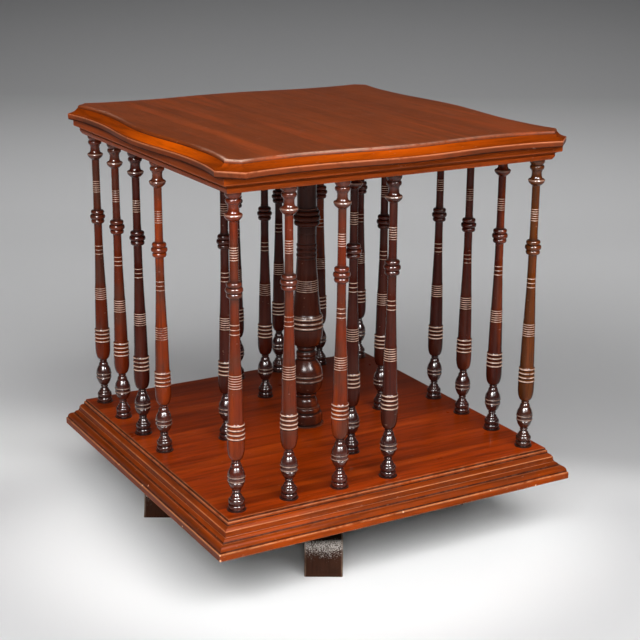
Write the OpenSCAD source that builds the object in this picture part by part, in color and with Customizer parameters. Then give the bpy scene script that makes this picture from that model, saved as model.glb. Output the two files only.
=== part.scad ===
// Revolving bookstand for a table top.
// A square case of turned spindles between a moulded base and a shaped top turns on a pin in a low cross.
// Origin at the middle of the footprint on the floor, +Z up, the case's front towards -Y.

/* [Stand] */
// Height of the case's underside above the floor
stand_h = 61; // [50:1:90]
// Length of each arm of the cross, end to end
arm_l = 330; // [280:2:350]
// Width of each leg of the arms
arm_w = 36; // [30:1:46]
// Height of an arm at its rounded nose
arm_nose_h = 35; // [28:1:40]
// Length of the flat part of the cross in the middle, under the case
arm_flat_l = 110; // [90:2:140]
// Turn of the cross against the case, as the stand is shown
stand_turn = -29.5; // [-90:0.1:90]
// Diameter of the pin that the case turns on
pin_d = 12; // [8:0.5:14]
// Height of the pin above the base board
pin_rise = 12; // [8:0.5:13]
// Diameter of the iron plate under the pin
pin_plate_d = 66; // [62:1:80]
// Diameter of the iron bearing plate let into the base board
bearing_d = 56; // [52:1:66]
// Thickness of the two iron plates and of the washer between them
plate_t = 3; // [2:0.5:4]
// Diameter of the thrust washer
washer_d = 26; // [22:1:30]

/* [Base] */
// Width of the square base over its moulding
base_w = 380; // [370:1:420]
// Thickness of the base
base_t = 30; // [27:0.5:36]
// Width of the moulded rail round the base board
base_rail_w = 17.5; // [16.5:0.5:22]
// Height of the square edge at the bottom of the base rail
base_edge_h = 7; // [4:0.2:7.6]

/* [Turned work] */
// Clear height for books between the base and the frame above
clear_h = 286; // [270:1:340]
// Distance of the rows' centres in from the edge of the base
row_setback = 32.5; // [30:0.5:50]
// Spindles in the row along half of each side
row_count = 4; // [3:1:5]
// Distance of the inner spindles from the column's axis
inner_r = 90; // [60:1:110]
// Largest diameter of a spindle, at its foot
spindle_d = 17.2; // [14:0.2:20]
// Largest diameter of the column, at its foot
column_d = 36.4; // [33:0.2:42]
// Diameter of the tenons on the spindles
tenon_d = 8; // [6:0.5:9]
// Length of the tenons on the spindles
tenon_l = 12; // [8:0.5:13]
// Diameter of the column's tenon in the base
column_tenon_d = 24; // [20:0.5:26]

/* [Top] */
// How far the top's corners stand out past the frame on the right and left
top_over_x = 7; // [6:0.5:14]
// How far the top's corners stand out past the frame at the front and back
top_over_y = 15.5; // [6:0.5:21]
// Thickness of the shaped top
top_t = 14; // [12:0.5:18]
// Height of the top's square edge below its moulding
top_edge_h = 5.4; // [4:0.2:6.5]
// Length cut from each side at a corner of the top
top_corner = 19.5; // [14:0.5:26]
// How far the middle of each side swells out past the corners
top_swell = 1.5; // [0:0.1:4]
// How far each side draws in between its middle and the corners
top_dip = 6; // [3:0.1:7]
// Height of the frame under the top
frame_h = 15; // [14:0.5:20]
// How far the frame board reaches past the rows' centres
frame_reach = 6.4; // [5.5:0.1:9]
// Width of the moulded rail round the frame board
frame_rail_w = 9.6; // [8:0.2:11]

/* [Hidden] */
$fn = 48;

// Glue gap round a tenon or a screw, and running clearance round the pin
fit_gap = 0.05;
// Room left past the end of a tenon, a pin or a screw in its hole
end_gap = 0.5;
// A cut runs this far past the face that it goes through
past = 1;

// Wood screws: shank, head and length
screw_d = 4;
screw_head_d = 8;
screw_head_h = 2.2;
screw_l = 18;
screw_inset = 8;
pin_screw_r = pin_plate_d / 2 - screw_inset;
bearing_screw_r = bearing_d / 2 - screw_inset;
screw_turn = 45;

// Levels above the floor, from the cross to the top
base_z = stand_h;
panel_z = base_z + base_t;
frame_z = panel_z + clear_h;
top_z = frame_z + frame_h;
plate_z = base_z - 2 * plate_t;
bearing_top_z = base_z + plate_t;
pin_top_z = panel_z + pin_rise;

rows_r = base_w / 2 - row_setback;
row_pitch = rows_r / (row_count - 1);
board_w = base_w - 2 * base_rail_w;
frame_board_w = 2 * (rows_r + frame_reach);
frame_w = frame_board_w + 2 * frame_rail_w;
top_w = frame_w + 2 * top_over_x;
top_l = frame_w + 2 * top_over_y;
column_head_d = column_tenon_d * 2 / 3;

// Clear height and foot diameters that the turned outlines are drawn for, read from the outlines
drawn_clear_h = spindle_outline()[len(spindle_outline()) - 1][1];
drawn_spindle_d = 2 * spindle_outline()[0][0];
drawn_column_d = 2 * column_outline()[0][0];

side_names = ["front", "right", "back", "left"];
inner_names = [for (side = side_names) str("spindle_inner_", side)];
row_names = [for (side = side_names, i = [1:row_count]) str("spindle_", side, "_", i)];
base_rail_names = [for (side = side_names) str("base_rail_", side)];
frame_rail_names = [for (side = side_names) str("frame_rail_", side)];

// Outline helpers. Every point is [radius or width, height].

// A bead of full radius r1 standing on a body of radius r0 between two heights
function bead(z0, z1, r0, r1, steps = 5) = [
    for (i = [0:steps])
        [r0 + (r1 - r0) * sin(180 * i / steps), z0 + (z1 - z0) * (1 - cos(180 * i / steps)) / 2]
];

// A convex quarter that leaves p upright and reaches q level
function dome(p, q, steps = 5) = [
    for (i = [0:steps])
        [q[0] + (p[0] - q[0]) * cos(90 * i / steps), p[1] + (q[1] - p[1]) * sin(90 * i / steps)]
];

// A quarter that leaves p level and reaches q upright
function bowl(p, q, steps = 5) = [
    for (i = [0:steps])
        [p[0] + (q[0] - p[0]) * sin(90 * i / steps), q[1] + (p[1] - q[1]) * cos(90 * i / steps)]
];

// A swelling that starts steeply at p and settles to an upright line at q
function swell(p, q, steps = 6) = [
    for (i = [0:steps])
        [p[0] + (q[0] - p[0]) * sin(90 * i / steps), p[1] + (q[1] - p[1]) * i / steps]
];

// A swelling that leaves p upright and falls away steeply to q
function fall(p, q, steps = 6) = [
    for (i = [0:steps])
        [q[0] + (p[0] - q[0]) * cos(90 * i / steps), p[1] + (q[1] - p[1]) * i / steps]
];

// An S curve, upright at both ends
function ogee(p, q, steps = 6) = [
    for (i = [0:steps])
        [p[0] + (q[0] - p[0]) * (1 - cos(180 * i / steps)) / 2, p[1] + (q[1] - p[1]) * i / steps]
];

// A shallow curve from p to q that leaves the straight line by the given depth
function sweep(p, q, depth, steps = 5) =
    let (d = q - p, n = [d[1], -d[0]] / norm(d))
    [for (i = [0:steps]) let (t = i / steps) p + d * t + n * depth * 4 * t * (1 - t)];

// Raised lines at these heights on a shaft that tapers from r0 to r1, each over a fine groove
function rings(heights, r0, r1, size) =
    let (run = heights[len(heights) - 1] - heights[0])
    [
        for (z = heights)
            let (r = r0 + (r1 - r0) * (z - heights[0]) / run)
            each [
                [r, z - 1.4 * size],
                [r - 0.4 * size, z - size],
                [r + 0.35 * size, z - 0.2 * size],
                [r, z + 0.8 * size]
            ]
    ];

// Even heights from low to high
function spread(low, high, count) = [for (i = [0:count - 1]) low + (high - low) * i / (count - 1)];

// Widens a profile by k and stretches its heights by kz
function placed(points, k, kz) = [for (p = points) [p[0] * k, p[1] * kz]];

// A spindle up from the base: foot, egg, bowl, ringed shaft, triple bead, slim shaft and capital
function spindle_outline() = concat(
    [[8.6, 0], [8.6, 0.5], [7, 0.9]],
    bead(1, 5.3, 6.6, 7.6),
    [[6.1, 5.5]],
    bead(5.8, 10.8, 6.3, 7.5),
    sweep([6, 11], [4.6, 13.2], 0.4, 3),
    sweep([4.8, 13.5], [3.6, 15.4], 0.3, 3),
    [[3.3, 16.2]],
    bead(16.9, 18.5, 3.3, 3.9, 4),
    [[3.4, 18.9]],
    sweep([4, 19.3], [7.6, 27], 0.6, 4),
    rings([28.2, 32.2], 7.7, 7.8, 0.9),
    fall([7.8, 33.2], [5.2, 40.4], 5),
    [[4.9, 40.7]],
    fall([5.1, 41], [4, 44.2], 3),
    [[3.3, 44.7]],
    bead(45.2, 46.7, 3.3, 3.9, 4),
    [[3.3, 47.2]],
    bowl([4.2, 47.8], [7.85, 60.5]),
    [[7.85, 66]],
    rings([68.4, 72.3, 76.5, 80.6], 7.8, 7.55, 1),
    [[6.9, 82.2], [6.25, 112.2]],
    rings(spread(114.4, 125.6, 6), 6, 5.8, 0.5),
    [[5.5, 130], [4.55, 158]],
    rings([162.4, 166.6, 170.8], 4.4, 4.25, 0.5),
    [[4.1, 180], [4.1, 194.2]],
    bead(194.5, 198.7, 5.4, 6.8),
    bead(198.9, 203.7, 6, 7.8),
    bead(203.9, 208.1, 5.4, 6.8),
    [[4.1, 208.5], [3.85, 212], [3.8, 225]],
    rings(spread(227.4, 238.2, 6), 3.8, 3.75, 0.45),
    [[3.75, 242], [3.75, 260.4], [4.4, 261]],
    swell([4.8, 261.2], [7.7, 265], 4),
    [[8, 265.7], [7.7, 266.5]],
    bowl([7.1, 267], [4.8, 270.6], 4),
    ogee([4.7, 273], [5.3, 275.4], 3),
    bead(275.8, 280, 5.6, 6.8),
    [[5.7, 280.4]],
    swell([5.9, 280.8], [7.2, 283.6], 4),
    [[7.2, 286]]
);

function spindle_profile() = concat(
    [[0, -tenon_l], [tenon_d / 2, -tenon_l], [tenon_d / 2, 0]],
    placed(spindle_outline(), spindle_d / drawn_spindle_d, clear_h / drawn_clear_h),
    [[tenon_d / 2, clear_h], [tenon_d / 2, clear_h + tenon_l], [0, clear_h + tenon_l]]
);

// The column up from the base: foot, ball, bowl, ringed bulb, shaft, triple bead and plain neck
function column_outline() = concat(
    [[18.2, 0], [18.2, 0.6], [15.8, 1.2]],
    bead(1.6, 12.8, 15, 16.8, 7),
    [[13.5, 13.2]],
    bead(13.6, 18.4, 13.4, 14.4),
    [[13, 18.7], [13.2, 19.6], [12, 20]],
    dome([12.2, 20.6], [8, 28.8], 6),
    [[7.8, 29.6]],
    bead(30.6, 33.4, 9, 10.7),
    [[9, 33.8]],
    bowl([9.8, 34.4], [16.6, 46], 7),
    rings([48.6, 53.4], 16.7, 16.8, 1.3),
    fall([16.8, 55.2], [9.8, 69], 7),
    [[9.2, 69.4]],
    bead(69.8, 72.6, 9.4, 10.2, 4),
    bead(72.8, 77.6, 9, 10.4),
    [[8.4, 78.4], [8.4, 79.2]],
    bead(79.8, 82.8, 8.8, 9.8, 4),
    [[8.8, 83.2]],
    bowl([9.6, 83.6], [16.8, 99], 7),
    rings([104.5, 109.2, 113.9], 16.7, 16.2, 1.4),
    [[15.6, 116.4], [14.4, 118.4], [12.2, 139]],
    rings(spread(141.8, 152.4, 6), 12, 11.3, 0.55),
    [[10.7, 160], [10, 173]],
    bead(175.6, 179, 9.7, 10.3, 4),
    [[9.6, 180.2]],
    bead(180.8, 184, 9.6, 10.2, 4),
    [[9.5, 185.2]],
    bead(186, 189.2, 9.5, 10.1, 4),
    [[9.4, 191], [9.3, 207.2]],
    bead(207.8, 212.6, 11, 12.7),
    bead(212.9, 218, 11.6, 13.4),
    bead(218.4, 223, 11, 12.7),
    [[10.9, 223.4], [10.9, 225.2], [9.5, 225.8], [9.6, 278]],
    swell([10.4, 280], [11.4, 284.5], 4),
    [[11.4, drawn_clear_h]]
);

function column_profile() =
    let (foot_z = bearing_top_z - panel_z)
    concat(
        [[0, foot_z], [column_tenon_d / 2, foot_z], [column_tenon_d / 2, 0]],
        placed(column_outline(), column_d / drawn_column_d, clear_h / drawn_clear_h),
        [[column_head_d / 2, clear_h], [column_head_d / 2, clear_h + tenon_l], [0, clear_h + tenon_l]]
    );

// Cross sections of the moulded rails: distance in from the outer face, and height.

// Base rail: square edge, ovolo, small torus, upright face, thumb and a bead against the board
function base_section() =
    let (b = base_edge_h, t = base_t, w = base_rail_w)
    concat(
        [[0, 0], [0, b - 0.7], [0.6, b], [1.1, b + 0.2], [1.2, b + 1.3]],
        sweep([1.4, b + 1.7], [4.9, b + 5.8], -0.8, 4),
        [[5.3, b + 5.9], [6.6, b + 6.2], [7.2, b + 6.9]],
        sweep([7.4, b + 7.2], [9.9, b + 9.3], -0.5, 3),
        [[10.4, b + 9.9], [w - 6.2, t - 9.4], [w - 6.3, t - 8.9], [w - 5.8, t - 8.4]],
        sweep([w - 5.6, t - 8.2], [w - 2.6, t - 5.7], -0.5, 3),
        [[w - 2.3, t - 5.1], [w - 2.3, t - 4.5], [w - 2.1, t - 3], [w - 1.7, t - 2.5]],
        [[w - 0.9, t - 1.9], [w - 0.7, t - 1.1], [w - 0.4, t - 0.2], [w, t], [w, 0]]
    );

// Frame rail: rounded lower band, undercut and a wide fillet under the top
function frame_section() = concat(
    [[6.6, 0], [6.4, 0.4]],
    sweep([6.3, 0.6], [4.5, 4.4], -0.3, 4),
    [[4.9, 4.7], [4.8, 5.5]],
    sweep([4.4, 6], [0.8, 7.5], 0.4, 3),
    [[0, 8.2], [0, frame_h], [frame_rail_w, frame_h], [frame_rail_w, 0]]
);

// Edge of the shaped top, going up: distance in from the corners' full width, and height
function top_section() =
    let (e = top_edge_h, t = top_t)
    concat(
        [[0.7, 0], [0, e - 0.3], [0.5, e + 0.5], [1.1, e + 0.7]],
        sweep([1.7, e + 0.8], [9.9, t - 3.1], 0.8, 5),
        dome([10.3, t - 2.5], [12.7, t], 4)
    );

// How far a side of the top stands out or in, s from -1 to 1 between its corners
dip_at = 0.62;
flare_power = 2.5;
function side_shift(s) =
    let (a = abs(s))
    a < dip_at
        ? (top_swell + top_dip) * (1 + cos(180 * a / dip_at)) / 2 - top_dip
        : top_dip * (pow((a - dip_at) / (1 - dip_at), flare_power) - 1);

// Outline of the top at one level, anticlockwise from the front left corner
side_steps = 16;
corner_draw = 0.83;
function top_outline(inset) =
    let (
        cut = top_corner - corner_draw * inset,
        half = [top_w / 2 - inset, top_l / 2 - inset]
    )
    [
        for (side = [0:3], i = [0:side_steps])
            let (
                across = half[(side + 1) % 2],
                along = half[side % 2] - cut,
                s = 2 * i / side_steps - 1,
                x = s * along,
                y = -across - side_shift(s)
            )
            [x * cos(90 * side) - y * sin(90 * side), x * sin(90 * side) + y * cos(90 * side)]
    ];

// Solid between outlines that all have the same number of points, given from the bottom up
module loft(levels) {
    n = len(levels[0]);
    last = len(levels) - 1;
    points = [for (ring = levels, p = ring) p];
    walls = [
        for (k = [0:last - 1], i = [0:n - 1])
            let (a = k * n + i, b = k * n + (i + 1) % n)
            each [[a, a + n, b], [b, a + n, b + n]]
    ];
    floor_face = [for (i = [0:n - 1]) i];
    roof_face = [for (i = [n - 1:-1:0]) last * n + i];
    polyhedron(points, concat([floor_face, roof_face], walls), convexity = 6);
}

// Placing helpers

module turn_to_side(side) {
    rotate([0, 0, 90 * side]) children();
}

// Places of the spindles: each row runs from a corner of the case to the middle of its side
module on_row(side, i) {
    turn_to_side(side) translate([-rows_r + i * row_pitch, -rows_r, 0]) children();
}

module on_inner(side) {
    turn_to_side(side) translate([0, -inner_r, 0]) children();
}

module at_spindles() {
    for (side = [0:3]) {
        for (i = [0:row_count - 1]) on_row(side, i) children();
        on_inner(side) children();
    }
}

module on_circle(r, turn) {
    for (i = [0:3]) rotate([0, 0, turn + 90 * i]) translate([r, 0, 0]) children();
}

// Countersunk wood screw pointing down, its head flush with z = 0
module screw(gap = 0) {
    translate([0, 0, -screw_l - (gap > 0 ? end_gap : 0)]) cylinder(d = screw_d + 2 * gap, h = screw_l);
    translate([0, 0, -screw_head_h])
        cylinder(d1 = screw_d + 2 * gap, d2 = screw_head_d + 2 * gap, h = screw_head_h);
}

// Rail with the given section along one side, cut at 45 degrees at both ends
module mitred_rail(section, width, height, side) {
    turn_to_side(side) intersection() {
        translate([0, -width / 2, 0])
            rotate([90, 0, 90]) linear_extrude(width, center = true) polygon(section);
        translate([0, 0, -past])
            linear_extrude(height + 2 * past) polygon([[0, 0], [-width, -width], [width, -width]]);
    }
}

// The stand

// Side view of one leg of an arm: splayed toe, rounded nose and a hollow rise to the middle
toe_splay = 1.2;
nose_l = 8;
nose_drop = 9;
nose_flat_l = 7;
leg_rise_hollow = 3;
function leg_side() =
    let (
        end = arm_l / 2,
        nose_x = end - toe_splay,
        nose_z = arm_nose_h - nose_drop,
        rise_x = nose_x - nose_l - nose_flat_l,
        flat_r = max(arm_flat_l / 2, arm_w)
    )
    concat(
        [[0, 0]],
        sweep([end, 0], [nose_x, nose_z], -0.4, 4),
        dome([nose_x, nose_z + 0.5], [nose_x - nose_l, arm_nose_h]),
        sweep([rise_x, arm_nose_h], [flat_r, plate_z], -leg_rise_hollow, 8),
        [[0, plate_z]]
    );

// Cranked arm: its two legs run past opposite sides of the axis and meet in a square middle block
module arm_blank() {
    for (turn = [0, 180]) rotate([0, 0, turn])
        translate([0, arm_w, 0]) rotate([90, 0, 0]) linear_extrude(arm_w) polygon(leg_side());
    translate([-arm_w, -arm_w, 0]) cube([2 * arm_w, 2 * arm_w, plate_z]);
}

// One arm of the cross, halved over the other: the notch takes half the middle block, from notch_z up
module arm(direction, notch_z) {
    notch_w = 2 * (arm_w + fit_gap);
    color([0.22, 0.15, 0.12])
    rotate([0, 0, direction + stand_turn]) difference() {
        arm_blank();
        translate([-notch_w / 2, -arm_w - past, notch_z]) cube([notch_w, 2 * (arm_w + past), plate_z]);
        on_circle(pin_screw_r, screw_turn) translate([0, 0, plate_z + plate_t]) screw(fit_gap);
    }
}

module arm_lower() {
    arm(90, plate_z / 2);
}

module arm_upper() {
    arm(0, -plate_z / 2);
}

module pivot_pin() {
    color([0.25, 0.25, 0.26])
    difference() {
        union() {
            translate([0, 0, plate_z]) cylinder(d = pin_plate_d, h = plate_t);
            translate([0, 0, plate_z]) cylinder(d = pin_d, h = pin_top_z - plate_z);
        }
        on_circle(pin_screw_r, stand_turn + screw_turn) translate([0, 0, plate_z + plate_t]) screw(fit_gap);
    }
}

module pivot_screws() {
    color([0.45, 0.42, 0.38])
    on_circle(pin_screw_r, stand_turn + screw_turn) translate([0, 0, plate_z + plate_t]) screw();
}

module thrust_washer() {
    color([0.78, 0.62, 0.3])
    translate([0, 0, plate_z + plate_t]) difference() {
        cylinder(d = washer_d, h = plate_t);
        translate([0, 0, -past]) cylinder(d = pin_d + 2 * fit_gap, h = plate_t + 2 * past);
    }
}

// The base of the case

module bearing_plate() {
    color([0.25, 0.25, 0.26])
    difference() {
        translate([0, 0, base_z]) cylinder(d = bearing_d, h = plate_t);
        translate([0, 0, base_z - past]) cylinder(d = pin_d + 2 * fit_gap, h = plate_t + 2 * past);
        bearing_screw_places() screw(fit_gap);
    }
}

module bearing_screw_places() {
    on_circle(bearing_screw_r, screw_turn) translate([0, 0, base_z]) mirror([0, 0, 1]) children();
}

module bearing_screws() {
    color([0.45, 0.42, 0.38])
    bearing_screw_places() screw();
}

module base_board() {
    color([0.5, 0.18, 0.06])
    difference() {
        translate([-board_w / 2, -board_w / 2, base_z]) cube([board_w, board_w, base_t]);
        translate([0, 0, base_z - past]) cylinder(d = bearing_d + 2 * fit_gap, h = plate_t + past);
        translate([0, 0, base_z]) cylinder(d = column_tenon_d + 2 * fit_gap, h = base_t + past);
        bearing_screw_places() screw(fit_gap);
        at_spindles() translate([0, 0, panel_z - tenon_l - end_gap])
            cylinder(d = tenon_d + 2 * fit_gap, h = tenon_l + end_gap + past);
    }
}

module base_rail(side) {
    color([0.55, 0.2, 0.07])
    translate([0, 0, base_z]) mitred_rail(base_section(), base_w, base_t, side);
}

// The turned work

module column() {
    color([0.16, 0.08, 0.06])
    translate([0, 0, panel_z]) difference() {
        rotate_extrude() polygon(column_profile());
        translate([0, 0, bearing_top_z - panel_z - past])
            cylinder(d = pin_d + 2 * fit_gap, h = pin_top_z - bearing_top_z + past + end_gap);
    }
}

module spindle() {
    color([0.27, 0.12, 0.1])
    translate([0, 0, panel_z]) rotate_extrude() polygon(spindle_profile());
}

// The frame and the top

module frame_board() {
    color([0.5, 0.2, 0.06])
    difference() {
        translate([-frame_board_w / 2, -frame_board_w / 2, frame_z])
            cube([frame_board_w, frame_board_w, frame_h]);
        translate([0, 0, frame_z - past])
            cylinder(d = column_head_d + 2 * fit_gap, h = tenon_l + end_gap + past);
        at_spindles() translate([0, 0, frame_z - past])
            cylinder(d = tenon_d + 2 * fit_gap, h = tenon_l + end_gap + past);
    }
}

module frame_rail(side) {
    color([0.62, 0.28, 0.06])
    translate([0, 0, frame_z]) mitred_rail(frame_section(), frame_w, frame_h, side);
}

module top_board() {
    color([0.45, 0.22, 0.13])
    loft([for (step = top_section()) [for (p = top_outline(step[0])) [p[0], p[1], top_z + step[1]]]]);
}

arm_lower();
arm_upper();
pivot_pin();
pivot_screws();
thrust_washer();
bearing_plate();
bearing_screws();
base_board();
column();
frame_board();
top_board();
for (side = [0:3]) {
    base_rail(side);
    frame_rail(side);
    on_inner(side) spindle();
    for (i = [0:row_count - 1]) {
        on_row(side, i) spindle();
    }
}
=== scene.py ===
"""Revolving bookstand: finished wooden pieces, their polish and wear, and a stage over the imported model."""

import math

import bmesh
import bpy
from bmesh.types import BMEdge, BMFace, BMVert
from bpy.props import FloatProperty, FloatVectorProperty, IntProperty, PointerProperty
from mathutils import Matrix, Vector


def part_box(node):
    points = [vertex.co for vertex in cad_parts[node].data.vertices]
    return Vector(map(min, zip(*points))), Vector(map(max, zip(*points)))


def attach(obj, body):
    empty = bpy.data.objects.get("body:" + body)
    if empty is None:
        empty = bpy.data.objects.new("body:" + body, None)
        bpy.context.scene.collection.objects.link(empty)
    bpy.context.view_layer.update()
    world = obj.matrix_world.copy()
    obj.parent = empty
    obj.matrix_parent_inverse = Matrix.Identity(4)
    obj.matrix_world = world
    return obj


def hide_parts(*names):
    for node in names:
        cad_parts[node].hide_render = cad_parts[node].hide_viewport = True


bl_info = {
    "name": "Revolving bookstand",
    "version": (1, 0, 0),
    "blender": (4, 5, 0),
    "location": "View3D > Sidebar > Bookstand",
    "description": "Turned, moulded and polished pieces of a table-top revolving bookstand",
    "category": "Object",
}

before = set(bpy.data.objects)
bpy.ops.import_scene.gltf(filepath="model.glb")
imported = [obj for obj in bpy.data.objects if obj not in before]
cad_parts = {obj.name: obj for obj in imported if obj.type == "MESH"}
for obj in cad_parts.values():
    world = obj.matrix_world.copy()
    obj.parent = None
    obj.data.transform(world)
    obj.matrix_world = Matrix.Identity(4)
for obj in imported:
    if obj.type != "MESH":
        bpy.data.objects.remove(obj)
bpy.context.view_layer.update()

MM = 0.001
SIDES = ("front", "right", "back", "left")

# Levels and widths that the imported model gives, in metres
base_low, base_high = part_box("base_board")
frame_low, frame_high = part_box("frame_board")
top_low, top_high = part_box("top_board")
PANEL_Z = base_high[2]
FRAME_Z = frame_low[2]
CLEAR_H = FRAME_Z - PANEL_Z
BASE_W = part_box("base_rail_front")[1][0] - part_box("base_rail_front")[0][0]
BASE_T = base_high[2] - base_low[2]
BASE_RAIL_W = BASE_W / 2 - base_high[0]
FRAME_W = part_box("frame_rail_front")[1][0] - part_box("frame_rail_front")[0][0]
FRAME_H = frame_high[2] - frame_low[2]
FRAME_RAIL_W = FRAME_W / 2 - frame_high[0]
TOP_T = top_high[2] - top_low[2]
ARM_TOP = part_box("arm_lower")[1][2]


def tone(red, green, blue):
    """A colour named by its display values from 0 to 255, as the linear values that Blender holds."""
    def linear(value):
        value = value / 255
        return value / 12.92 if value <= 0.04045 else ((value + 0.055) / 1.055) ** 2.4
    return tuple(linear(value) for value in (red, green, blue))


class BookstandPolish(bpy.types.PropertyGroup):
    """Colours of the woods"""

    top: FloatVectorProperty(
        name="Top", description="Polished mahogany of the shaped top", subtype="COLOR", size=3,
        default=tone(136, 61, 19))
    edge: FloatVectorProperty(
        name="Moulded edge", description="Golden polish in the hollow of the top's edge", subtype="COLOR",
        size=3, default=tone(160, 64, 6))
    fascia: FloatVectorProperty(
        name="Square edge", description="Square edge of the top, and frame board", subtype="COLOR", size=3,
        default=tone(130, 60, 30))
    base: FloatVectorProperty(
        name="Base board", description="Red polished board that the books stand on", subtype="COLOR", size=3,
        default=tone(158, 54, 3))
    base_rail: FloatVectorProperty(
        name="Base rails", description="Moulded rails round the base board", subtype="COLOR", size=3,
        default=tone(146, 58, 10))
    frame_rail: FloatVectorProperty(
        name="Frame rails", description="Moulded rails under the top", subtype="COLOR", size=3,
        default=tone(150, 62, 12))
    spindle: FloatVectorProperty(
        name="Spindles", description="Dark turned wood", subtype="COLOR", size=3,
        default=tone(71, 24, 13))
    column: FloatVectorProperty(
        name="Column", description="Turned wood of the centre column", subtype="COLOR", size=3,
        default=tone(64, 28, 18))
    stand: FloatVectorProperty(
        name="Stand", description="Stained wood of the cross", subtype="COLOR", size=3,
        default=tone(54, 28, 15))


class BookstandTurning(bpy.types.PropertyGroup):
    """Fineness of the turned and shaped pieces"""

    segments: IntProperty(
        name="Segments", description="Faces round a turned piece", default=40, min=16, max=96)
    side_steps: IntProperty(
        name="Side steps", description="Steps along one side of the shaped top", default=48, min=12, max=120)
    edge_round: FloatProperty(
        name="Worn edge", description="Radius that use has put on the edges of the stand", subtype="DISTANCE",
        default=1.4 * MM, min=0.2 * MM, max=3 * MM)


class BookstandStage(bpy.types.PropertyGroup):
    """Where the camera stands and what it looks at"""

    azimuth: FloatProperty(
        name="Azimuth", description="Camera's angle round the stand", subtype="ANGLE",
        default=math.radians(-29.7))
    elevation: FloatProperty(
        name="Elevation", description="Camera's angle above the floor", subtype="ANGLE",
        default=math.radians(16.93))
    roll: FloatProperty(
        name="Roll", description="Camera's tilt about its own axis", subtype="ANGLE",
        default=math.radians(0.385))
    distance: FloatProperty(
        name="Distance", description="From the camera to the point that it looks at", subtype="DISTANCE",
        default=1.438)
    target: FloatVectorProperty(
        name="Look at", description="Point in the middle of the picture", subtype="TRANSLATION", size=3,
        default=(0.0119, -0.0068, 0.2008))
    lens: FloatProperty(
        name="Lens", description="Focal length on a 36 mm sensor, in millimetres", default=80.55)


def polish():
    return bpy.context.scene.bookstand_polish


def turning():
    return bpy.context.scene.bookstand_turning


# Shader graphs


class Value:
    """A socket of a shader graph. Arithmetic on it adds Math nodes."""

    def __init__(self, graph, socket):
        self.graph = graph
        self.socket = socket

    def math(self, operation, other, clamp=False):
        return self.graph.node(
            "ShaderNodeMath", {"operation": operation, "use_clamp": clamp}, {0: self, 1: other})

    def __add__(self, other):
        return self.math("ADD", other)

    def __sub__(self, other):
        return self.math("SUBTRACT", other)

    def __mul__(self, other):
        return self.math("MULTIPLY", other)

    def __pow__(self, other):
        return self.math("POWER", other)

    def __rsub__(self, other):
        return self.graph.node("ShaderNodeMath", {"operation": "SUBTRACT"}, {0: other, 1: self})

    __radd__ = __add__

    def most(self, other):
        """The greater of the two."""
        return self.math("MAXIMUM", other)

    def within(self):
        """Held between 0 and 1."""
        return self.math("ADD", 0.0, clamp=True)

    def ramp(self, low, high, kind="LINEAR"):
        """0 below low, 1 above high and even between them."""
        return self.graph.node(
            "ShaderNodeMapRange", {"clamp": True, "interpolation_type": kind},
            {"Value": self, "From Min": low, "From Max": high})

    def smooth(self, low, high):
        """0 below low, 1 above high, with soft ends."""
        return self.ramp(low, high, "SMOOTHSTEP")


class Graph:
    """The node tree of one material."""

    def __init__(self, name):
        self.material = bpy.data.materials.new(name)
        self.material.use_nodes = True
        self.tree = self.material.node_tree
        self.tree.nodes.clear()
        self.place = self.node("ShaderNodeTexCoord", output="Object")

    def node(self, kind, settings=None, values=None, output=0):
        """Adds a node with its settings, values and links, and gives one of its outputs, if it has any."""
        made = self.tree.nodes.new(kind)
        for name, setting in (settings or {}).items():
            setattr(made, name, setting)
        for key, value in (values or {}).items():
            if isinstance(value, Value):
                self.tree.links.new(value.socket, made.inputs[key])
            else:
                made.inputs[key].default_value = value
        return Value(self, made.outputs[output]) if made.outputs else None

    def scaled(self, scale, turn=(0, 0, 0)):
        return self.node("ShaderNodeMapping", None, {"Vector": self.place, "Rotation": turn, "Scale": scale})

    def noise(self, place=None, *, scale, detail, rough, warp=0.0):
        return self.node(
            "ShaderNodeTexNoise", None,
            {"Vector": place or self.place, "Scale": scale, "Detail": detail, "Roughness": rough,
             "Distortion": warp})

    def mark(self, name):
        return self.node("ShaderNodeAttribute", {"attribute_name": name}, output="Fac")

    def height(self):
        return self.node("ShaderNodeSeparateXYZ", None, {"Vector": self.place}, output="Z")

    def vector(self, operation, first, second=(0, 0, 0), output="Value"):
        return self.node("ShaderNodeVectorMath", {"operation": operation}, {0: first, 1: second}, output)

    def mix(self, factor, first, second):
        """The first colour where the factor is 0 and the second where it is 1."""
        def full(colour):
            return colour if isinstance(colour, Value) else (*colour, 1.0)
        return self.node(
            "ShaderNodeMix", {"data_type": "RGBA"},
            {"Factor": factor, 6: full(first), 7: full(second)}, output=2)

    def near(self, spots, ragged):
        """1 on any of the spots, each (x, y, z, radius) in millimetres with a ragged rim, and 0 off them."""
        total = 0.0
        for x, y, z, radius in spots:
            away = self.vector("DISTANCE", self.place, (x * MM, y * MM, z * MM))
            inside = 1.0 - (away + ragged * radius * 0.8 * MM).ramp(radius * 0.9 * MM, radius * 1.2 * MM)
            total = inside.most(total)
        return total

    def bump(self, height, distance, strength):
        return self.node(
            "ShaderNodeBump", None, {"Height": height, "Distance": distance, "Strength": strength})

    def finish(self, **sockets):
        """Ends the graph in a Principled shader with these sockets, such as base_color or coat_weight."""
        values = {
            name.replace("_", " ").title().replace("Ior", "IOR"): value for name, value in sockets.items()}
        shader = self.node("ShaderNodeBsdfPrincipled", None, values)
        self.node("ShaderNodeOutputMaterial", None, {"Surface": shader})
        return self.material


def darker(colour, share):
    return tuple(value * share for value in colour)


def blended(first, second, share):
    return tuple(a + (b - a) * share for a, b in zip(first, second))


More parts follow.
